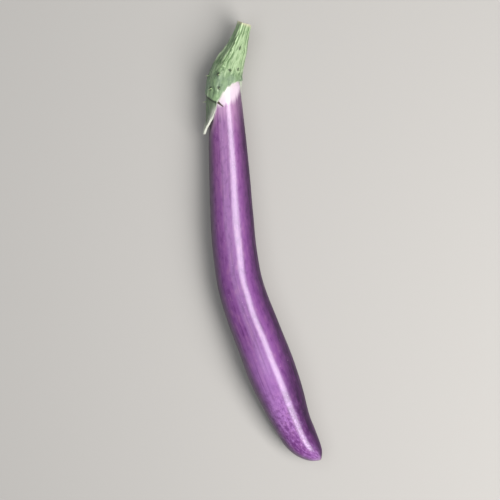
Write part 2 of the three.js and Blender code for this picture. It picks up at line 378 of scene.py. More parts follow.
@dataclass(frozen=True)
class CalyxForm:
    """The calyx and stalk as a formula over the fruit's skin.

    Angles of a span are degrees from a sepal's midrib. The front sepal is the first one, and the
    left one that it laps over is the second. raggedness is read at s = 0 alone, so its lengths
    only weigh its waves.
    """

    fruit: FruitForm
    sepals: tuple[Sepal, ...] = (
        Sepal(110, 21.5, 0.3, 96, 2.2, 50, 1.0),
        Sepal(163, 41, 1.0, 60, 0.43, 62, 0.8),
        Sepal(219, 32, 0.3, 42, 0.8, 40, 0.8),
        Sepal(268, 36, 0.3, 42, 0.8, 42, 0.8),
        Sepal(314, 29, 0.3, 38, 0.9, 34, 1.1),
    )
    stalk_radius: float = 4.2
    crown_radius: float = 6.8
    stalk_flare: float = 1.6
    crown_flare: float = 1.15
    base_thick: float = 1.0
    edge_thick: float = 0.8
    thins_above: float = 4.0
    thins_below: float = 2.0
    curl_share: float = 0.6
    rib_height: float = 0.6
    rib_width: float = 13.0
    rib_fade: float = 18.0
    lap_height: float = 0.75
    lap_slant: float = 0.085
    lap_edge: float = 0.25
    lap_rise: tuple[float, float] = (-4.0, 9.0)
    lap_across: Span = Span(-6, 4, 62, 84)
    wrinkles: Unevenness = Unevenness(seed=5, height=0.19, longest=22, shortest=4, most_lobes=26, waves=60)
    raggedness: Unevenness = Unevenness(
        seed=11, height=0.5, longest=1e6, shortest=1e5, most_lobes=24, waves=12
    )
    margin_slope: float = 0.5
    rolled_across: Span = Span(-38, -14, 4, 20)
    roll_height: float = 0.9
    roll_width: float = 1.9
    bead_height: float = 0.8
    bead_width: float = 1.0

    def margin(self, phi: np.ndarray) -> np.ndarray:
        """The s of the sepals' common margin at phi, slightly ragged."""
        reach = np.max([sepal.reach(phi) for sepal in self.sepals], axis=0)
        return reach + self.raggedness.at(np.zeros_like(phi), phi)

    def curl(self, s: np.ndarray, phi: np.ndarray) -> np.ndarray:
        """How far the calyx stands off the skin: only the tips of the sepals curl away.

        Args:
            s: Distances along the spine.
            phi: Angles round it, in radians.

        Returns:
            The distance at each place.
        """
        curls = []
        for sepal in self.sepals:
            along = np.clip((s - PARTING) / (sepal.tip - PARTING), 0, 1)
            curls.append(sepal.curl * np.sqrt(sepal.nearness(phi, self.curl_share)) * along**3)
        return np.max(curls, axis=0) + self.roll(s, phi)

    def rolled(self, phi: np.ndarray) -> np.ndarray:
        """The share by which the left sepal's upper margin rolls outwards at phi."""
        return self.rolled_across.at(self.sepals[1].offset(phi))

    def inwards(self, s: np.ndarray, phi: np.ndarray) -> np.ndarray:
        """How far in from the slanting margin a place lies."""
        return self.margin_slope * np.maximum(self.margin(phi) - s, 0)

    def roll(self, s: np.ndarray, phi: np.ndarray) -> np.ndarray:
        """How far that margin's roll stands off, close to the margin."""
        near = np.exp(-((self.inwards(s, phi) / self.roll_width) ** 2))
        return self.roll_height * self.rolled(phi) * near

    def bead(self, s: np.ndarray, phi: np.ndarray) -> np.ndarray:
        """How much the roll thickens that margin."""
        near = np.exp(-((self.inwards(s, phi) / self.bead_width) ** 4))
        return self.bead_height * self.rolled(phi) * near

    def rib(self, s: np.ndarray, phi: np.ndarray) -> np.ndarray:
        """The height of the ribs, which follow the midribs and fade towards the tips.

        Args:
            s: Distances along the spine.
            phi: Angles round it, in radians.

        Returns:
            The height at each place.
        """
        total = np.zeros(np.broadcast(s, phi).shape)
        for sepal in self.sepals:
            fade = 1 - smoothstep(s, sepal.tip - self.rib_fade, sepal.tip)
            total += fade * np.exp(-((sepal.offset(phi) / self.rib_width) ** 2))
        return self.rib_height * total

    def lap_line(self, phi: np.ndarray) -> np.ndarray:
        """The s of the front sepal's own margin where it lies on its left neighbour."""
        front = self.sepals[0]
        return front.tip - self.lap_slant * np.maximum(front.offset(phi), 0)

    def lap(self, s: np.ndarray, phi: np.ndarray) -> np.ndarray:
        """The share of the front sepal's thickness that lies on its left neighbour.

        Args:
            s: Distances along the spine.
            phi: Angles round it, in radians.

        Returns:
            The share at each place.
        """
        across = self.lap_across.at(self.sepals[0].offset(phi))
        above = 1 - smoothstep(s - self.lap_line(phi), -self.lap_edge, self.lap_edge)
        rise_from, rise_to = self.lap_rise
        return across * above * smoothstep(s, PARTING + rise_from, PARTING + rise_to)

    def radius(self, s: np.ndarray, phi: np.ndarray) -> np.ndarray:
        """The outer radius of the stalk and calyx, with its relief.

        Args:
            s: Distances along the spine.
            phi: Angles round it, in radians.

        Returns:
            The radius at each place.
        """
        t = np.clip((s - STALK_TOP) / (CROWN_TOP - STALK_TOP), 0, 1)
        stalk = lerp(self.stalk_radius, self.crown_radius, t**self.stalk_flare)
        margin = self.margin(phi)
        thin_at = np.maximum(margin, PARTING + self.thins_below)
        thinning = smoothstep(s, PARTING - self.thins_above, thin_at)
        thick = lerp(self.base_thick, self.edge_thick, thinning)
        seat = np.maximum(s, CROWN_BASE)
        cap = self.fruit.radius(seat, phi, SKIN_GAP + thick) + self.curl(s, phi)
        flare = np.clip((s - CROWN_TOP) / (CROWN_BASE - CROWN_TOP), 0, 1)
        share = np.sin(math.pi / 2 * flare) ** self.crown_flare
        smooth = lerp(stalk, cap, share) + self.rib(s, phi)
        relief = self.wrinkles.at(s, phi) + self.lap_height * self.lap(s, phi) + self.bead(s, phi)
        return smooth + relief


@dataclass(frozen=True)
class Shell:
    """A closed skin of rings, whose first and last ring are single points.

    points holds millimetres by ring and side, and marks holds values for the finish by name, one
    or three for each point.
    """

    points: np.ndarray
    marks: dict[str, np.ndarray]

    def corners(self) -> np.ndarray:
        """The skin's vertices, in millimetres."""
        return self._listed(self.points)

    def mark(self, name: str) -> np.ndarray:
        """One of the marks, by vertex."""
        return self._listed(self.marks[name].reshape(*self.points.shape[:2], -1))

    def faces(self, start: int) -> list[tuple[int, ...]]:
        """The skin's faces.

        Args:
            start: The number of its first vertex.

        Returns:
            The corners' numbers, face by face.
        """
        count, sides = self.points.shape[:2]
        side = np.arange(sides)
        after = (side + 1) % sides
        rings = [(start + 1 + ring * sides + side).tolist() for ring in range(count - 2)]
        turned = [(start + 1 + ring * sides + after).tolist() for ring in range(count - 2)]
        end = start + 1 + (count - 2) * sides
        found = list(zip([start] * sides, turned[0], rings[0]))
        for near in range(count - 3):
            found += zip(rings[near], turned[near], turned[near + 1], rings[near + 1])
        return found + list(zip(rings[-1], turned[-1], [end] * sides))

    @staticmethod
    def _listed(values: np.ndarray) -> np.ndarray:
        """Values by ring and side as a list by vertex."""
        inner = values[1:-1].reshape(-1, values.shape[-1])
        return np.vstack([values[0, :1], inner, values[-1, :1]])


def skin_piece(name: str, shells: Sequence[Shell]) -> bpy.types.Object:
    """A smooth mesh object of one or more closed skins.

    Args:
        name: The object's name.
        shells: The skins, which all carry the same marks.

    Returns:
        The new object.
    """
    corners = [shell.corners() for shell in shells]
    starts = np.cumsum([0] + [len(part) for part in corners])
    faces = [face for shell, start in zip(shells, starts) for face in shell.faces(int(start))]
    mesh = bpy.data.meshes.new(name)
    mesh.from_pydata((np.vstack(corners) * MM).tolist(), [], faces)
    for mark in shells[0].marks:
        values = np.vstack([shell.mark(mark) for shell in shells]).astype(np.float32)
        vector = values.shape[1] == 3
        attribute = mesh.attributes.new(mark, "FLOAT_VECTOR" if vector else "FLOAT", "POINT")
        attribute.data.foreach_set("vector" if vector else "value", values.ravel())
    mesh.polygons.foreach_set("use_smooth", [True] * len(mesh.polygons))
    mesh.update()
    piece = bpy.data.objects.new(name, mesh)
    bpy.context.scene.collection.objects.link(piece)
    return piece


def grain(s: np.ndarray, phi: np.ndarray, radius: float) -> np.ndarray:
    """Coordinates for a finish that runs lengthwise and closes round the plant, in millimetres."""
    s, phi = np.broadcast_arrays(s, phi)
    return np.stack([radius * np.cos(phi), radius * np.sin(phi), s], axis=-1)


class Wire:
    """A socket of a material's node tree, with Python's operators adding its Math nodes."""

    def __init__(self, board: "NodeBoard", socket: bpy.types.NodeSocket) -> None:
        """Wraps one socket of a board."""
        self.board = board
        self.socket = socket

    def _math(self, operation: str, first: Any, second: Any) -> "Wire":
        """A Math node on two wires or numbers."""
        inputs = {0: first, 1: second}
        return self.board.add("ShaderNodeMath", {"operation": operation}, inputs)

    def __add__(self, other: Any) -> "Wire":
        """This value plus another."""
        return self._math("ADD", self, other)

    __radd__ = __add__

    def __mul__(self, other: Any) -> "Wire":
        """This value times another."""
        return self._math("MULTIPLY", self, other)

    __rmul__ = __mul__

    def __sub__(self, other: Any) -> "Wire":
        """This value less another."""
        return self._math("SUBTRACT", self, other)

    def __rsub__(self, other: Any) -> "Wire":
        """Another value less this one."""
        return self._math("SUBTRACT", other, self)

    def step(self, low: float, high: float) -> "Wire":
        """A smooth step of this value.

        Args:
            low: The value up to which it is 0.
            high: The value from which it is 1.

        Returns:
            The step's wire.
        """
        settings = {"interpolation_type": "SMOOTHSTEP"}
        inputs = {"Value": self, "From Min": low, "From Max": high}
        return self.board.add("ShaderNodeMapRange", settings, inputs)


class NodeBoard:
    """The node tree of one material."""

    def __init__(self, name: str) -> None:
        """Starts an empty material.

        Args:
            name: The material's name.
        """
        self.material = bpy.data.materials.new(name)
        self.material.use_nodes = True
        self.tree = self.material.node_tree
        self.tree.nodes.clear()

    def add(
        self,
        kind: str,
        settings: dict[str, Any],
        inputs: dict[str | int, Any],
        output: str | int = 0,
    ) -> Wire:
        """Adds a node.

        Args:
            kind: The node's type.
            settings: Its properties, which are set first.
            inputs: Values or wires by the socket's name or number.
            output: The output wanted, by name or number.

        Returns:
            That output's wire.
        """
        node = self.tree.nodes.new(kind)
        for key, value in settings.items():
            setattr(node, key, value)
        for key, value in inputs.items():
            if isinstance(value, Wire):
                self.tree.links.new(value.socket, node.inputs[key])
            else:
                node.inputs[key].default_value = value
        return Wire(self, node.outputs[output]) if node.outputs else Wire(self, node.inputs[0])

    def mark(self, name: str) -> Wire:
        """A value that the mesh carries."""
        return self.add("ShaderNodeAttribute", {"attribute_name": name}, {}, "Fac")

    def place(self, along: float) -> Wire:
        """The mesh's grain coordinates, with lengths along the spine taken at a share."""
        grained = self.add("ShaderNodeAttribute", {"attribute_name": "grain"}, {}, "Vector")
        return self.add("ShaderNodeVectorMath", {"operation": "MULTIPLY"}, {0: grained, 1: (1, 1, along)})

    def noise(self, along: float, scale: float, detail: float, rough: float = 0.5) -> Wire:
        """Noise from 0 to 1 over the mesh's grain.

        Args:
            along: The share of lengths along the spine: the less, the longer the streaks.
            scale: How many features there are to the millimetre.
            detail: How many finer layers it has.
            rough: How strong they are.

        Returns:
            The noise's wire.
        """
        inputs = {"Vector": self.place(along), "Scale": scale, "Detail": detail, "Roughness": rough}
        return self.add("ShaderNodeTexNoise", {"noise_dimensions": "3D"}, inputs)

    def spots(self, along: float, scale: float) -> Wire:
        """The distance to the nearest of many scattered points over the mesh's grain."""
        settings = {"voronoi_dimensions": "3D", "feature": "F1"}
        return self.add("ShaderNodeTexVoronoi", settings, {"Vector": self.place(along), "Scale": scale})

    def bump(self, height: Wire, strength: float) -> Wire:
        """The normal of a skin with a relief of up to a millimetre."""
        inputs = {"Strength": strength, "Distance": MM, "Height": height}
        return self.add("ShaderNodeBump", {}, inputs)

    def layered(self, colour: Wire, layers: Sequence[tuple[Wire, float, Any]]) -> Wire:
        """A colour with layers of others over it.

        Args:
            colour: The colour below.
            layers: From the lowest to the topmost, where each lies, from 0 to 1, its strength
                there, and its colour.

        Returns:
            The colour that shows.
        """
        for where, strength, tint in layers:
            colour = self.mix(where * strength, colour, tint)
        return colour

    def mix(self, share: Any, a: Any, b: Any) -> Wire:
        """A colour a share of the way from a to b."""
        inputs = {0: share, 6: self._colour(a), 7: self._colour(b)}
        return self.add("ShaderNodeMix", {"data_type": "RGBA"}, inputs, 2)

    @staticmethod
    def _colour(value: Any) -> Any:
        """A colour with its alpha, or the wire it is."""
        return value if isinstance(value, Wire) else (*value, 1.0)

    def finish(self, shader: dict[str | int, Any]) -> bpy.types.Material:
        """Closes the tree with a Principled shader.

        Args:
            shader: Its sockets' values or wires.

        Returns:
            The material.
        """
        surface = self.add("ShaderNodeBsdfPrincipled", {}, shader)
        self.add("ShaderNodeOutputMaterial", {}, {"Surface": surface})
        return self.material


def srgb(red: int, green: int, blue: int) -> tuple[float, float, float]:
    """A colour as the linear one that a shader takes.

    Args:
        red: The red in display steps of 0 to 255.
        green: The green.
        blue: The blue.

    Returns:
        The linear red, green and blue.
    """
    steps = (red / 255, green / 255, blue / 255)
    low, mid, high = (c / 12.92 if c < 0.04045 else ((c + 0.055) / 1.055) ** 2.4 for c in steps)
    return low, mid, high


@dataclass(frozen=True)
class SkinFinish:
    """The fruit's waxy purple skin.

    A field that ends in along is a stretch of the fruit, and one that ends in edge is a stretch
    given by the distance below the end of the white.
    """

    purple: tuple[float, float, float] = srgb(123, 73, 135)
    deep: tuple[float, float, float] = srgb(80, 30, 92)
    # darkest and dusky: painted shade on the flanks; darkest also paints a shadow beside the curled sepal
    darkest: tuple[float, float, float] = srgb(31, 8, 38)
    dusky: tuple[float, float, float] = srgb(66, 24, 74)
    rosy: tuple[float, float, float] = srgb(150, 102, 145)
    blush: tuple[float, float, float] = srgb(184, 146, 178)
    pinkish: tuple[float, float, float] = srgb(206, 188, 203)
    lilac: tuple[float, float, float] = srgb(178, 132, 196)
    white: tuple[float, float, float] = srgb(210, 209, 200)
    scar: tuple[float, float, float] = srgb(92, 66, 52)
    roughness: float = 0.22
    gloss: float = 0.25
    gloss_tint: tuple[float, float, float] = srgb(232, 212, 255)
    wax: float = 1.0
    wax_roughness: float = 0.24
    relief: float = 0.06
    # extra roughness where the flanks carry painted shade
    shaded_flank_dulling: float = 0.22
    scar_dulling: float = 0.5
    rosy_along: tuple[float, float] = (10, 150)
    scurfy_along: tuple[float, float] = (195, 230)
    paler_along: tuple[float, float] = (252, FRUIT_LENGTH)
    white_edge: tuple[float, float] = (-1.3, 1.3)
    pinkish_edge: tuple[float, float] = (-9.0, -1.0)
    blush_edge: tuple[float, float] = (-1.0, 12.0)

    def material(self) -> bpy.types.Material:
        """The finish as a material.

        Returns:
            The material.
        """
        board = NodeBoard("eggplant_skin")
        streaks = board.noise(along=0.035, scale=0.9, detail=4, rough=0.62)
        fine = board.noise(along=0.02, scale=3.2, detail=3, rough=0.6)
        clouds = board.noise(along=0.6, scale=0.055, detail=3)
        mottles = board.noise(along=0.45, scale=0.42, detail=4, rough=0.6)
        scurf = board.noise(along=0.7, scale=0.5, detail=3, rough=0.65)
        dot_size = board.noise(along=1, scale=0.6, detail=0)
        dots = (1 - board.spots(along=0.75, scale=0.34).step(0.05, 0.13)) * dot_size.step(0.5, 0.62)
        along, painted_flank_shade, scarred = board.mark("along"), board.mark("painted_flank_shade"), board.mark("scar")
        below = board.mark("below_white") + (streaks - 0.5) * 3 + (fine - 0.5) * 2
        low = along.step(*self.scurfy_along)
        rosy = (1 - along.step(*self.rosy_along)) * 0.5 + (clouds - 0.5) * 0.7
        # the painted shade's colour on the flanks
        flank = board.mix((streaks * 0.6 + mottles * 0.4).step(0.44, 0.6), self.darkest, self.dusky)
        shaded = board.mix(below.step(*self.pinkish_edge), self.white, self.pinkish)
        layers = (
            (mottles.step(0.5, 0.68), 0.4, self.rosy),
            (1 - mottles.step(0.34, 0.48), 0.4, self.deep),
            (1 - below.step(*self.blush_edge), 0.55, self.blush),
            # painted sheen: a broad lilac reflection on the belly
            (board.mark("painted_sheen"), 0.35, self.lilac),
            (along.step(*self.paler_along), 0.3, self.lilac),
            (streaks.step(0.46, 0.72), 0.42, self.deep),
            (fine.step(0.58, 0.8), 0.22, self.blush),
            ((1 - scurf.step(0.4, 0.5)) * low, 0.5, self.deep),
            (scurf.step(0.54, 0.62) * low, 0.35, self.lilac),
            # painted shade darkening the flanks towards their edges
            (painted_flank_shade, 0.95, flank),
            (1 - below.step(*self.white_edge), 1.0, shaded),
            (dots, 0.4, self.blush),
            # painted shadow on the skin beside the curled sepal
            (board.mark("curl_shadow"), 0.9, self.darkest),
            (scarred, 1.0, self.scar),
        )
        rough = self.roughness + (clouds - 0.5) * 0.1 + fine.step(0.5, 0.8) * 0.05
        relief = streaks * 0.4 + fine * 0.35 + dots * -0.6
        return board.finish(
            {
                "Base Color": board.layered(board.mix(rosy.step(0.0, 1.0), self.purple, self.rosy), layers),
                "Roughness": rough + scarred * self.scar_dulling + painted_flank_shade * self.shaded_flank_dulling,
                "Normal": board.bump(relief, self.relief),
                "Specular IOR Level": self.gloss,
                "Specular Tint": (*self.gloss_tint, 1.0),
                "Coat Weight": (1 - painted_flank_shade) * self.wax,
                "Coat Roughness": self.wax_roughness,
            }
        )


@dataclass(frozen=True)
class CalyxFinish:
    """The calyx and stalk: pale green as picked, with darker streaks, a greyish down and painted light and
    shade, lighter towards the light and darker away from it, by the sepals' overlap and beside the
    prickles.
    """

    light: tuple[float, float, float] = srgb(202, 226, 180)
    green: tuple[float, float, float] = srgb(134, 164, 114)
    dark: tuple[float, float, float] = srgb(66, 96, 54)
    # the grey down, which also paints the shade on the side away from the light
    down: tuple[float, float, float] = srgb(112, 130, 112)
    shade: tuple[float, float, float] = srgb(86, 100, 80)
    # the colour of painted shadows: below the front sepal and beside the prickles
    painted_shadow: tuple[float, float, float] = srgb(38, 46, 34)
    pale: tuple[float, float, float] = srgb(206, 208, 196)
    cut: tuple[float, float, float] = srgb(204, 198, 168)
    roughness: float = 0.62
    gloss: float = 0.4
    sheen: float = 0.12
    relief: float = 0.5

    def material(self) -> bpy.types.Material:
        """The finish as a material.

        Returns:
            The material.
        """
        board = NodeBoard("eggplant_calyx")
        streaks = board.noise(along=0.14, scale=0.6, detail=3, rough=0.55)
        blotches = board.noise(along=0.45, scale=0.48, detail=3, rough=0.65)
        patches = board.noise(along=0.5, scale=0.2, detail=3, rough=0.55)
        speckle = board.noise(along=0.6, scale=2.4, detail=3, rough=0.7)
        # painted light: the crown is lighter green on the side towards the light
        lit_side = board.mark("lit_side")
        lit_share = lit_side.step(0.0, 0.8)
        lit = (streaks + lit_side * 0.07).step(0.42, 0.6)
        layers = (
            (1 - streaks.step(0.32, 0.45), 0.65, self.dark),
            # painted light: light green patches on the side towards the light
            (blotches.step(0.52, 0.66) * lit_share, 0.6, self.light),
            # fewer dark blotches on the side towards the light
            ((1 - blotches.step(0.36, 0.5)) * (0.85 - lit_share * 0.45), 1.0, self.dark),
            (board.mark("groove"), 0.6, self.dark),
            # grey down and painted shade, greyer on the side away from the light
            (board.mark("down_and_shade") * (0.45 + patches.step(0.38, 0.62) * 0.5), 1.0, self.down),
            # painted shade on the left sepal below the front one
            (board.mark("lap_shade"), 0.7, self.shade),
            (speckle.step(0.55, 0.75), 0.35, self.dark),
            # painted shadow line below the front sepal
            (board.mark("painted_shadow"), 0.9, self.painted_shadow),
            # a darker foot with its painted shadow at each prickle
            (board.mark("foot"), 0.85, self.painted_shadow),
            (board.mark("lip"), 0.85, self.pale),
            (board.mark("cut"), 0.9, self.cut),
        )
        return board.finish(
            {
                "Base Color": board.layered(board.mix(lit, self.green, self.light), layers),
                "Roughness": self.roughness + (patches - 0.5) * 0.2,
                "Normal": board.bump(streaks + blotches * 0.6 + speckle * 0.25, self.relief),
                "Specular IOR Level": self.gloss,
                "Sheen Weight": self.sheen,
            }
        )


@dataclass(frozen=True)
class PrickleFinish:
    """The prickles: straw-coloured points on green bases."""

    base: tuple[float, float, float] = srgb(140, 168, 118)
    point: tuple[float, float, float] = srgb(222, 218, 186)
    roughness: float = 0.45

    def material(self) -> bpy.types.Material:
        """The finish as a material.

        Returns:
            The material.
        """
        board = NodeBoard("eggplant_prickle")
        speckle = board.noise(along=1, scale=3.0, detail=2)
        share = board.mark("out") + (speckle - 0.5) * 0.3
        colour = board.mix(share.step(0.25, 0.8), self.base, self.point)
        return board.finish({"Base Color": colour, "Roughness": self.roughness})


@dataclass(frozen=True)
class Flank:
    """A flank of the fruit with painted shade, darker towards its edge.

    turn is added to phi, so that the darkest line comes to 0. The darkness starts at one cosine
    of that angle and is full at another, and each is given for the neck and for the belly.
    """

    share: float
    turn: float
    starts: tuple[float, float]
    full: tuple[float, float]

    def at(self, phi: np.ndarray, low: np.ndarray) -> np.ndarray:
        """How dark it is at phi, a share low of the way from the neck to the belly."""
        near = np.cos(phi + self.turn)
        return self.share * smoothstep(near, lerp(*self.starts, low), lerp(*self.full, low))


@dataclass
class Fruit:
    """The fruit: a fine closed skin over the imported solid, with its blossom scar.

    white_to holds rows of degrees round the fruit and of the s to which it is white there.
    """

    form: FruitForm
    calyx: CalyxForm
    finish: SkinFinish = field(default_factory=SkinFinish)
    rings: int = 420
    sides: int = 160
    crowding: float = 0.85
    nub_height: float = 0.9
    nub_radius: float = 1.7
    swelling: Unevenness = Unevenness(
        seed=3, height=0.16, longest=90, shortest=26, most_lobes=3, waves=22
    )
    swells_along: Span = Span(24, 60, 238, 262)
    grain_radius: float = 14.0
    scar_radius: float = 1.5
    # the two flanks with painted shade, right and left
    flanks: tuple[Flank, ...] = (
        Flank(1.0, 0.1, (0.35, 0.0), (0.94, 0.82)),
        Flank(0.85, math.pi, (0.55, 0.3), (0.98, 0.98)),
    )
    belly_from: tuple[float, float] = (185, 215)
    neck_to: tuple[float, float] = (15, 45)
    neck_share: float = 0.7
    # where the painted sheen lies on the belly
    painted_sheen_along: Span = Span(165, 198, 222, 246)
    painted_sheen_across: Span = Span(-0.9, -0.4, -0.1, 0.4)
    # the painted shadow beside the curled sepal
    curl_shadow_across: Span = Span(-42, -26, 2, 14)
    curl_shadow_gap: float = 0.8
    curl_shadow_under: float = 6.0
    curl_shadow_beyond: float = 1.7
    crisp_fade: float = 1.0
    soft_fade: float = 2.6
    soft_side: tuple[float, float] = (0.0, 0.8)
    white_hem: float = 1.2
    white_to: tuple[tuple[float, float], ...] = (
        (-60, 0),
        (-20, 9),
        (10, 14),
        (30, 18),
        (50, 21),
        (70, 22.5),
        (88, 23.5),
        (112, 24.5),
        (125, 0),
    )

    def build(self) -> bpy.types.Object:
        """Builds the fruit and dresses it.

        Returns:
            The fruit's object.
        """
        t = np.linspace(0, 1, self.rings + 1)[:, None]
        s = FRUIT_LENGTH * (t - self.crowding * np.sin(2 * np.pi * t) / (2 * np.pi))
        phi = np.linspace(0, 2 * np.pi, self.sides, endpoint=False)[None, :]
        radius = self.form.radius(s, phi) + self.swells_along.at(s) * self.swelling.at(s, phi)
        radius[0] = radius[-1] = 0
        points = self.form.place(s, phi, radius)
        end = s > FRUIT_LENGTH - self.nub_height
        nub = np.where(end, self.nub_height * np.exp(-((radius / self.nub_radius) ** 2)), 0)
        points += nub[..., None] * self.form.frame(s)[1]
        points[..., 2] = np.maximum(points[..., 2], 0)
        marks = {
            "grain": grain(s, phi, self.grain_radius),
            "along": s + 0 * phi,
            "below_white": (s - self._white_line(phi)) / self._fading(phi),
            # painted shade on the flanks
            "painted_flank_shade": self._painted_flank_shade(s, phi),
            # painted sheen on the belly
            "painted_sheen": self._painted_sheen(s, phi),
            # painted shadow beside the curled sepal
            "curl_shadow": self._curl_shadow(s, phi),
            "scar": np.where(s > FRUIT_LENGTH / 2, np.exp(-((radius / self.scar_radius) ** 4)), 0),
        }
        piece = skin_piece("eggplant_fruit", [Shell(points, marks)])
        piece.data.materials.append(self.finish.material())
        return piece

    def _fading(self, phi: np.ndarray) -> np.ndarray:
        """How slowly the white fades out: crisply on the left, and softly on the right."""
        return lerp(self.crisp_fade, self.soft_fade, smoothstep(np.cos(phi), *self.soft_side))

    def _painted_flank_shade(self, s: np.ndarray, phi: np.ndarray) -> np.ndarray:
        """How much painted shade darkens the skin on the flanks, less so on the neck.

        Args:
            s: Distances along the spine.
            phi: Angles round it, in radians.

        Returns:
            The darkness at each place, from 0 to 1.
        """
        low = smoothstep(s, *self.belly_from)
        flanks = np.max([flank.at(phi, low) for flank in self.flanks], axis=0)
        return flanks * lerp(self.neck_share, 1.0, smoothstep(s, *self.neck_to))

    def _painted_sheen(self, s: np.ndarray, phi: np.ndarray) -> np.ndarray:
        """Where a painted sheen makes the skin paler: on top of the belly, towards its left."""
        return self.painted_sheen_along.at(s) * self.painted_sheen_across.at(np.cos(phi))

    def _curl_shadow(self, s: np.ndarray, phi: np.ndarray) -> np.ndarray:
        """The painted shadow on the skin beside the sepal that curls away.

        Args:
            s: Distances along the spine.
            phi: Angles round it, in radians.

        Returns:
            The painted shadow's strength at each place.
        """
        beyond = s - self.calyx.margin(phi) - self.curl_shadow_gap
        width = np.where(beyond < 0, self.curl_shadow_under, self.curl_shadow_beyond)
        beside = self.curl_shadow_across.at(self.calyx.sepals[1].offset(phi))
        return beside * np.exp(-((beyond / width) ** 2))

    def _white_line(self, phi: np.ndarray) -> np.ndarray:
        """The s to which the skin stays white, where the calyx has kept the light off it.

        Args:
            phi: Angles round the spine, in radians.

        Returns:
            The s at each angle.
        """
        degrees = (np.degrees(phi) + 180) % 360 - 180
        shrunk = np.interp(degrees, *np.array(self.white_to, float).T)
        return np.maximum(self.calyx.margin(phi) + self.white_hem, shrunk)


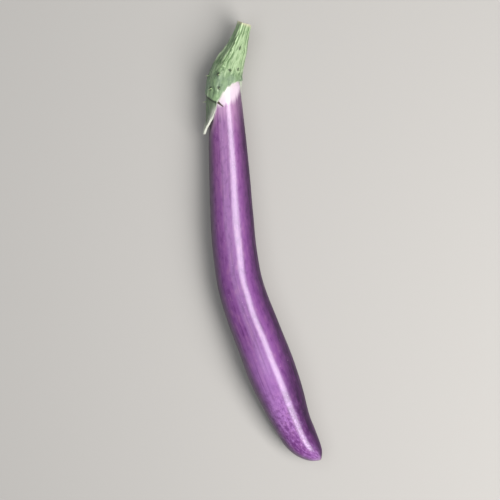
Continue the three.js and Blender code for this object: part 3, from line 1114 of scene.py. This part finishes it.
@dataclass
class CalyxAndStalk:
    """The green growth on the fruit's neck: sepals with rounded margins, crown and stalk.

    cut_profile goes from the middle of the cut out to its rim: each row's inset from the rim as a
    share of the radius, and its depth as a share of cut_dish. ragged_rim holds waves: height,
    count round the rim, and turn.
    """

    form: CalyxForm
    prickles: "Prickles"
    finish: CalyxFinish = field(default_factory=CalyxFinish)
    sides: int = 360
    stalk_rings: int = 64
    crown_rings: int = 160
    inner_rings: int = 26
    lip_rings: int = 6
    cut_dish: float = 0.5
    cut_profile: tuple[tuple[float, float], ...] = (
        (1.0, 1.0),
        (0.85, 0.95),
        (0.72, 0.8),
        (0.62, 0.25),
        (0.5, 0.0),
        (0.3, 0.05),
        (0.16, 0.15),
        (0.07, 0.0),
        (0.02, 0.25),
    )
    ragged_rim: tuple[tuple[float, int, float], ...] = ((0.12, 3, 1), (0.07, 11, 0), (0.05, 17, 0))
    rim_width: float = 1.4
    rim_share: float = 0.7
    lip_round: float = 0.45
    neck_curve: float = 11.4
    grain_radius: float = 10.0
    notch: float = 55.0
    # where the painted light lies round the crown
    lit_side_beside: tuple[float, float] = (0.5, 0.98)
    # the down and painted shade on the side away from the light
    down_and_shade_away: tuple[float, float] = (0.9, -0.2)
    down_and_shade_crown: float = 0.55
    down_and_shade_along: tuple[float, float] = (-6, 18)
    low_from: tuple[float, float] = (-3, 7)
    down_and_shade_low: float = 0.7
    dull_low: float = 1.5
    paled_across: Span = Span(-52, -30, 4, 20)
    pale_bands: tuple[float, float] = (0.45, 5.0)
    pale_shares: tuple[float, float] = (0.5, 1.0)
    # where the painted shade on the sepal below the front one lies
    lap_shade_across: Span = Span(-4, 6, 76, 100)
    lap_shade_edge: float = 0.4
    # where the painted shadow line below the front sepal lies
    painted_shadow_across: Span = Span(-4, 2, 40, 70)
    painted_shadow_gap: float = 0.6
    painted_shadow_width: float = 0.75
    groove_to: tuple[float, float] = (0, 14)
    groove_share: float = 0.8

    def build(self) -> bpy.types.Object:
        """Builds the calyx with its stalk and dresses it.

        Returns:
            The object.
        """
        phi = np.linspace(0, 2 * np.pi, self.sides, endpoint=False)
        margin = self.form.margin(phi)
        cut_end, inside = self._cut_end(phi), self._inside(phi, margin)
        bands = (cut_end, self._outside(phi, margin), self._lip(phi, margin), inside)
        s = np.vstack([band[0] for band in bands])
        radius = np.vstack([band[1] for band in bands])
        inner = np.vstack([np.full(band[0].shape, float(band is inside)) for band in bands])
        cut = np.vstack([np.full(band[0].shape, float(band is cut_end)) for band in bands])
        near_rim = np.exp(-(((s - STALK_TOP) / self.rim_width) ** 2))
        points = self.form.fruit.place(s, phi[None, :], radius)
        paled = self.paled_across.at(self.form.sepals[1].offset(phi))
        to_edge = np.maximum(margin[None, :] - s, 0) / lerp(*self.pale_bands, paled)
        marks = {
            "grain": grain(s, phi[None, :], self.grain_radius),
            "groove": self._groove(s, phi[None, :]),
            # painted shadow line below the front sepal
            "painted_shadow": self._painted_shadow(s, phi[None, :]),
            # painted light on the side towards the light
            "lit_side": self._lit_side(s, phi[None, :]),
            # grey down and painted shade
            "down_and_shade": self._down_and_shade(s, phi[None, :]),
            # painted shade on the sepal below the front one
            "lap_shade": self._lap_shade(s, phi[None, :]),
            # a darker foot with its painted shadow at each prickle
            "foot": self.prickles.foot_shadows(s, phi[None, :]),
            "lip": np.maximum(np.exp(-(to_edge**2)), inner) * lerp(*self.pale_shares, paled),
            "cut": np.maximum(cut, self.rim_share * near_rim),
        }
        piece = skin_piece("eggplant_calyx_and_stalk", [Shell(points, marks)])
        piece.data.materials.append(self.finish.material())
        return piece

    def _cut_end(self, phi: np.ndarray) -> tuple[np.ndarray, np.ndarray]:
        """The cut end: sunken pith, a raised ring of wood and a blunt, slightly ragged rim.

        Args:
            phi: Angles round the spine, in radians.

        Returns:
            Its s and radius, by ring and side.
        """
        rim = self.form.radius(np.full_like(phi, STALK_TOP), phi)
        ragged = sum(height * np.cos(lobes * phi + turn) for height, lobes, turn in self.ragged_rim)
        inset, sink = np.array(self.cut_profile).T[:, :, None]
        return STALK_TOP + self.cut_dish * sink + ragged * (1 - inset), rim * (1 - inset)

    def _outside(self, phi: np.ndarray, margin: np.ndarray) -> tuple[np.ndarray, np.ndarray]:
        """The outside, from the cut end's rim to the sepals' margin.

        Args:
            phi: Angles round the spine, in radians.
            margin: The margin's s at each angle.

        Returns:
            Its s and radius, by ring and side.
        """
        stalk = np.linspace(STALK_TOP + self.cut_dish, CROWN_TOP, self.stalk_rings)[:, None]
        share = np.linspace(0, 1, self.crown_rings + 1)[1:, None]
        s = np.vstack([stalk + 0 * phi, CROWN_TOP + (margin - CROWN_TOP) * share])
        return s, self.form.radius(s, phi[None, :])

    def _lip(self, phi: np.ndarray, margin: np.ndarray) -> tuple[np.ndarray, np.ndarray]:
        """The rounded margin, from the outer face over to the inner one.

        Args:
            phi: Angles round the spine, in radians.
            margin: The margin's s at each angle.

        Returns:
            Its s and radius, by ring and side.
        """
        outer = self.form.radius(margin, phi)
        inner = self._inner_radius(margin, phi)
        turn = np.linspace(np.pi / 2, -np.pi / 2, self.lip_rings + 2)[1:, None]
        middle, half = (outer + inner) / 2, (outer - inner) / 2
        return margin + self.lip_round * np.cos(turn), middle + half * np.sin(turn)

    def _inside(self, phi: np.ndarray, margin: np.ndarray) -> tuple[np.ndarray, np.ndarray]:
        """The inside, from the margin back up to the crown's hollow.

        Args:
            phi: Angles round the spine, in radians.
            margin: The margin's s at each angle.

        Returns:
            Its s and radius, by ring and side.
        """
        shoulder = self.form.fruit.shoulder_round
        bend = self.neck_curve * math.pi / 2
        turn = np.arccos(1 - np.minimum(margin, shoulder) / shoulder)
        length = self.neck_curve * turn + np.maximum(margin - shoulder, 0)
        distance = length * np.linspace(1, 0, self.inner_rings + 1)[1:, None]
        turn = np.minimum(distance, bend) / self.neck_curve
        s = shoulder * (1 - np.cos(turn)) + np.maximum(distance - bend, 0)
        s[-1] = -SKIN_GAP
        radius = self._inner_radius(s, phi[None, :])
        radius[-1] = 0
        return s, radius

    def _inner_radius(self, s: np.ndarray, phi: np.ndarray) -> np.ndarray:
        """The radius of the inner face, which lies just off the fruit's skin."""
        return self.form.fruit.radius(s, phi, SKIN_GAP) + self.form.curl(s, phi)

    def _by_notch(self, phi: np.ndarray) -> np.ndarray:
        """1 at the notch between the sepals, on the side towards the light, and -1 on the side away from
        it.
        """
        return np.cos(phi - math.radians(self.notch))

    def _down_and_shade(self, s: np.ndarray, phi: np.ndarray) -> np.ndarray:
        """Where the grey down and painted shade lie: on the side away from the notch and the light, more so
        on the sepals.
        """
        away = smoothstep(self._by_notch(phi), *self.down_and_shade_away)
        thick = lerp(self.down_and_shade_crown, 1.0, smoothstep(s, *self.down_and_shade_along))
        return np.maximum(away * thick, self.down_and_shade_low * self._low(s))

    def _lit_side(self, s: np.ndarray, phi: np.ndarray) -> np.ndarray:
        """Where painted light makes the green lighter: beside the notch, on the side towards the light, and
        not low on the sepals, which it darkens.
        """
        beside = smoothstep(self._by_notch(phi), *self.lit_side_beside)
        return beside * (1 - self._low(s)) - self.dull_low * self._low(s)

    def _low(self, s: np.ndarray) -> np.ndarray:
        """The sepals' lower part, which is duller than the crown."""
        return smoothstep(s, *self.low_from)

    def _lap_shade(self, s: np.ndarray, phi: np.ndarray) -> np.ndarray:
        """Painted shade on the left sepal below the front one, which makes it darker and duller."""
        across = self.lap_shade_across.at(self.form.sepals[0].offset(phi))
        return across * smoothstep(s - self.form.lap_line(phi), -self.lap_shade_edge, self.lap_shade_edge)

    def _groove(self, s: np.ndarray, phi: np.ndarray) -> np.ndarray:
        """The shaded furrows between the ribs."""
        between = 1 - np.clip(self.form.rib(s, phi) / self.form.rib_height, 0, 1)
        return between * (1 - smoothstep(s, *self.groove_to)) * self.groove_share

    def _painted_shadow(self, s: np.ndarray, phi: np.ndarray) -> np.ndarray:
        """The painted shadow line below the front sepal, where it laps over its neighbour.

        Args:
            s: Distances along the spine.
            phi: Angles round it, in radians.

        Returns:
            The line's strength at each place.
        """
        across = self.painted_shadow_across.at(self.form.sepals[0].offset(phi))
        beyond = s - self.form.lap_line(phi) - self.painted_shadow_gap
        return across * np.exp(-((beyond / self.painted_shadow_width) ** 2))


@dataclass
class Prickles:
    """The few curved prickles on the calyx, each on a flared foot.

    places holds each one's sepal, its s and its degrees from the sepal's midrib.
    """

    form: CalyxForm
    finish: PrickleFinish = field(default_factory=PrickleFinish)
    places: tuple[tuple[int, float, float], ...] = (
        (0, 5, -2),
        (0, 13, -9),
        (0, 13.5, 20),
        (0, 0.5, -37),
        (0, -2, -70),
        (0, -14, -44),
        (1, 7, -4),
        (1, 21, 6),
        (2, 9, 3),
        (3, 2, -4),
        (4, 12, 2),
    )
    length: float = 2.2
    root: float = 1.0
    foot_radius: float = 1.0
    foot_flare: float = 0.85
    taper_powers: tuple[float, float] = (0.7, 2.6)
    shade_radius: float = 1.25
    shade_aside: float = 0.7
    calyx_radius: float = 11.0
    smallest: float = 0.85
    size_range: float = 0.3
    rings: int = 14
    sides: int = 14
    lean: float = 0.35
    seed: int = 17

    def spots(self) -> list[tuple[float, float]]:
        """Where each prickle stands, as s and phi in radians."""
        sepals = self.form.sepals
        return [(s, math.radians(sepals[k].phi + off)) for k, s, off in self.places]

    def foot_shadows(self, s: np.ndarray, phi: np.ndarray) -> np.ndarray:
        """How near each place on the calyx is to a prickle's foot, a little to one side: a darker foot with
        its painted shadow.

        Args:
            s: Distances along the spine.
            phi: Angles round it, in radians.

        Returns:
            The nearness at each place, from 0 to 1.
        """
        total = np.zeros(np.broadcast(s, phi).shape)
        for spot_s, spot_phi in self.spots():
            around = (phi - spot_phi + np.pi) % (2 * np.pi) - np.pi
            gap = np.hypot(s - spot_s, self.calyx_radius * around - self.shade_aside)
            total = np.maximum(total, np.exp(-((gap / self.shade_radius) ** 4)))
        return total

    def build(self) -> bpy.types.Object:
        """Builds all the prickles as one piece.

        Returns:
            The object.
        """
        random = np.random.default_rng(self.seed)
        sizes = [self.smallest + self.size_range * random.random() for _ in self.places]
        cones = [self._cone(s, phi, size) for (s, phi), size in zip(self.spots(), sizes)]
        piece = skin_piece("eggplant_prickles", cones)
        piece.data.materials.append(self.finish.material())
        return piece

    def _cone(self, s: float, phi: float, size: float) -> Shell:
        """One prickle.

        Args:
            s: Where it stands along the spine.
            phi: Where it stands round it, in radians.
            size: Its size as a share of the usual one.

        Returns:
            The prickle's skin.
        """
        where, angle = np.array(s), np.array(phi)
        surface = self.form.radius(where, angle)
        fruit = self.form.fruit
        foot = fruit.place(where, angle, surface)
        out = fruit.place(where, angle, surface + 1) - foot
        along = fruit.frame(where)[1]
        across = np.cross(out, along)
        t = np.linspace(0, 1, self.rings + 1)[:, None, None]
        around = np.linspace(0, 2 * np.pi, self.sides, endpoint=False)[None, :, None]
        blunt, flared = ((1 - t) ** power for power in self.taper_powers)
        width = self.foot_radius * size * lerp(blunt, flared, self.foot_flare)
        width[0] = width[-1] = 0
        reach = -self.root + (self.root + self.length * size) * t
        bend = self.lean * self.length * size * t**2
        points = (
            foot
            + out * reach
            + along * (bend + width * np.cos(around))
            + across * width * np.sin(around)
        )
        share = np.broadcast_to(np.clip(reach / self.length, 0, 1)[..., 0], points.shape[:2])
        return Shell(points, {"grain": points, "out": share})


@dataclass
class DryTip:
    """The dried, dark end of the front sepal, which points to the right across the skin."""

    form: CalyxForm
    start: tuple[float, float] = (20.6, 114.0)
    end: tuple[float, float] = (24.6, 91.0)
    width: float = 0.8
    height: float = 0.55
    lift: float = 0.7
    bluntness: float = 6.0
    rings: int = 16
    sides: int = 12
    colour: tuple[float, float, float] = srgb(70, 58, 48)
    roughness: float = 0.75

    def build(self) -> bpy.types.Object:
        """Builds the tip as a flat, tapering tube along its path.

        Returns:
            The object.
        """
        t = np.linspace(0, 1, self.rings + 1)
        s = lerp(self.start[0], self.end[0], t)
        phi = np.radians(lerp(self.start[1], self.end[1], t))
        fruit = self.form.fruit
        skin = fruit.radius(s, phi)
        middle = fruit.place(s, phi, skin + SKIN_GAP + self.lift * (1 - t))
        ahead = np.gradient(middle, axis=0)
        ahead /= np.linalg.norm(ahead, axis=-1, keepdims=True)
        out = fruit.place(s, phi, skin + 1) - fruit.place(s, phi, skin)
        across = np.cross(out, ahead)
        taper = np.sqrt(np.clip(1 - t, 0, 1)) * np.minimum(self.bluntness * t, 1)
        around = np.linspace(0, 2 * np.pi, self.sides, endpoint=False)[None, :, None]
        wide = (self.width * taper)[:, None, None] * across[:, None] * np.cos(around)
        tall = (self.height * taper)[:, None, None] * out[:, None] * np.sin(around)
        piece = skin_piece("eggplant_dry_sepal_tip", [Shell(middle[:, None] + wide + tall, {})])
        board = NodeBoard("eggplant_dry_tip")
        finish = {"Base Color": (*self.colour, 1.0), "Roughness": self.roughness}
        piece.data.materials.append(board.finish(finish))
        return piece


@dataclass(frozen=True)
class FloorFinish:
    """A plain, matt, pale studio floor."""

    colour: tuple[float, float, float] = srgb(168, 166, 163)
    roughness: float = 0.85

    def material(self) -> bpy.types.Material:
        """The finish as a material."""
        shader = {"Base Color": (*self.colour, 1.0), "Roughness": self.roughness}
        return NodeBoard("studio_floor").finish(shader)


@dataclass(frozen=True)
class SoftLight:
    """One rectangular soft light that looks at the plant."""

    name: str
    place: tuple[float, float, float]
    size: tuple[float, float]
    power: float
    colour: tuple[float, float, float]
    long_side: tuple[float, float, float]

    def build(self, target: Vector) -> None:
        """Hangs the light and points it at a target, with its long side as given.

        Args:
            target: The place that it looks at, in metres.
        """
        data = bpy.data.lights.new(self.name, "AREA")
        data.shape = "RECTANGLE"
        data.size, data.size_y = self.size
        data.energy = self.power
        data.color = self.colour
        lamp = bpy.data.objects.new(self.name, data)
        back = (Vector(self.place) - target).normalized()
        long_side = Vector(self.long_side)
        long_side = (long_side - back * long_side.dot(back)).normalized()
        turn = Matrix((long_side.cross(back), long_side, back)).transposed()
        lamp.matrix_world = Matrix.Translation(self.place) @ turn.to_4x4()
        bpy.context.scene.collection.objects.link(lamp)


@dataclass
class Studio:
    """The floor, the lights, the surroundings and the camera at the photograph's angle.

    roll turns the picture, and the tilts lean the camera away from straight above, in degrees.
    """

    roll: float = 9.76
    tilt_right: float = 4.2
    tilt_up: float = 6.8
    lens: float = 100.0
    frame_height: float = 0.318
    floor_half: float = 3.0
    sky: tuple[float, float, float] = srgb(206, 208, 212)
    sky_strength: float = 0.16
    view: str = "Standard"
    clip: tuple[float, float] = (0.01, 20.0)
    lights: tuple[SoftLight, ...] = (
        SoftLight("window", (0.54, -0.3, 0.86), (0.5, 1.2), 20.0, (1, 0.98, 0.96), (-0.5, 1, 0)),
        SoftLight("fill", (-0.3, 0.2, 1.15), (0.9, 1.3), 6.0, (0.96, 0.98, 1), (0, 1, 0)),
    )
    floor: FloorFinish = field(default_factory=FloorFinish)

    def build(self) -> None:
        """Builds the floor, lights, surroundings and camera."""
        self._floor()
        self._sky()
        low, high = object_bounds()
        target = (low + high) / 2
        for light in self.lights:
            light.build(target)
        self._camera(target)

    def _floor(self) -> None:
        """Lays the floor under the plant."""
        half = self.floor_half
        corners = [(-half, -half, 0), (half, -half, 0), (half, half, 0), (-half, half, 0)]
        mesh = bpy.data.meshes.new("studio_floor")
        mesh.from_pydata(corners, [], [(0, 1, 2, 3)])
        mesh.materials.append(self.floor.material())
        floor = bpy.data.objects.new("studio_floor", mesh)
        bpy.context.scene.collection.objects.link(floor)
        floor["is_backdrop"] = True

    def _sky(self) -> None:
        """Gives the surroundings an even, soft light."""
        world = bpy.data.worlds.new("studio_surroundings")
        world.use_nodes = True
        background = world.node_tree.nodes["Background"]
        background.inputs["Color"].default_value = (*self.sky, 1.0)
        background.inputs["Strength"].default_value = self.sky_strength
        bpy.context.scene.world = world
        bpy.context.scene.view_settings.view_transform = self.view

    def _camera(self, target: Vector) -> None:
        """Sets the camera almost overhead, turned as the photograph shows the plant.

        Args:
            target: The place that it looks at, in metres.
        """
        data = bpy.data.cameras.new("camera")
        data.lens = self.lens
        camera = bpy.data.objects.new("camera", data)
        turn = math.radians(self.roll)
        image_up = Vector((math.sin(turn), math.cos(turn), 0))
        image_right = Vector((math.cos(turn), -math.sin(turn), 0))
        sideways = math.tan(math.radians(self.tilt_right)) * image_right
        upwards = math.tan(math.radians(self.tilt_up)) * image_up
        back = (Vector((0, 0, 1)) + sideways + upwards).normalized()
        right = image_up.cross(back).normalized()
        up = back.cross(right)
        distance = self.frame_height / 2 / (data.sensor_width / 2 / data.lens)
        matrix = Matrix((right, up, back)).transposed().to_4x4()
        camera.matrix_world = Matrix.Translation(target + back * distance) @ matrix
        data.clip_start, data.clip_end = self.clip
        bpy.context.scene.collection.objects.link(camera)
        bpy.context.scene.camera = camera


def centre_of(node: CadNode) -> np.ndarray:
    """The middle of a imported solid's box from above, in millimetres."""
    low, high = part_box(node.value)
    return np.array(((low + high) / 2)[:2]) / MM


def shift(piece: bpy.types.Object, by: np.ndarray) -> None:
    """Moves a piece's mesh by x and y, given in millimetres."""
    piece.data.transform(Matrix.Translation((by[0] * MM, by[1] * MM, 0)))


def settle(piece: bpy.types.Object, node: CadNode) -> None:
    """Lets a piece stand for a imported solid.

    Args:
        piece: The piece.
        node: The solid, on whose body the piece rides.
    """
    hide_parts(node.value)
    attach(piece, BODY)
    log.info("built %s: %d faces", piece.name, len(piece.data.polygons))


def main() -> None:
    """Builds the plant over its frame, then the studio."""
    logging.basicConfig(level=logging.INFO)
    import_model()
    form = FruitForm()
    calyx_form = CalyxForm(form)
    prickles = Prickles(calyx_form)
    fruit = Fruit(form, calyx_form).build()
    green = CalyxAndStalk(calyx_form, prickles).build()
    points = prickles.build()
    dry_tip = DryTip(calyx_form).build()
    corners = np.array([corner[:2] for corner in fruit.bound_box]) / MM
    by = centre_of(CadNode.FRUIT) - (corners.min(0) + corners.max(0)) / 2
    for piece in (fruit, green, points, dry_tip):
        shift(piece, by)
    settle(fruit, CadNode.FRUIT)
    settle(green, CadNode.GREEN)
    settle(points, CadNode.GREEN)
    settle(dry_tip, CadNode.GREEN)
    Studio().build()


if __name__ == "__main__":
    main()
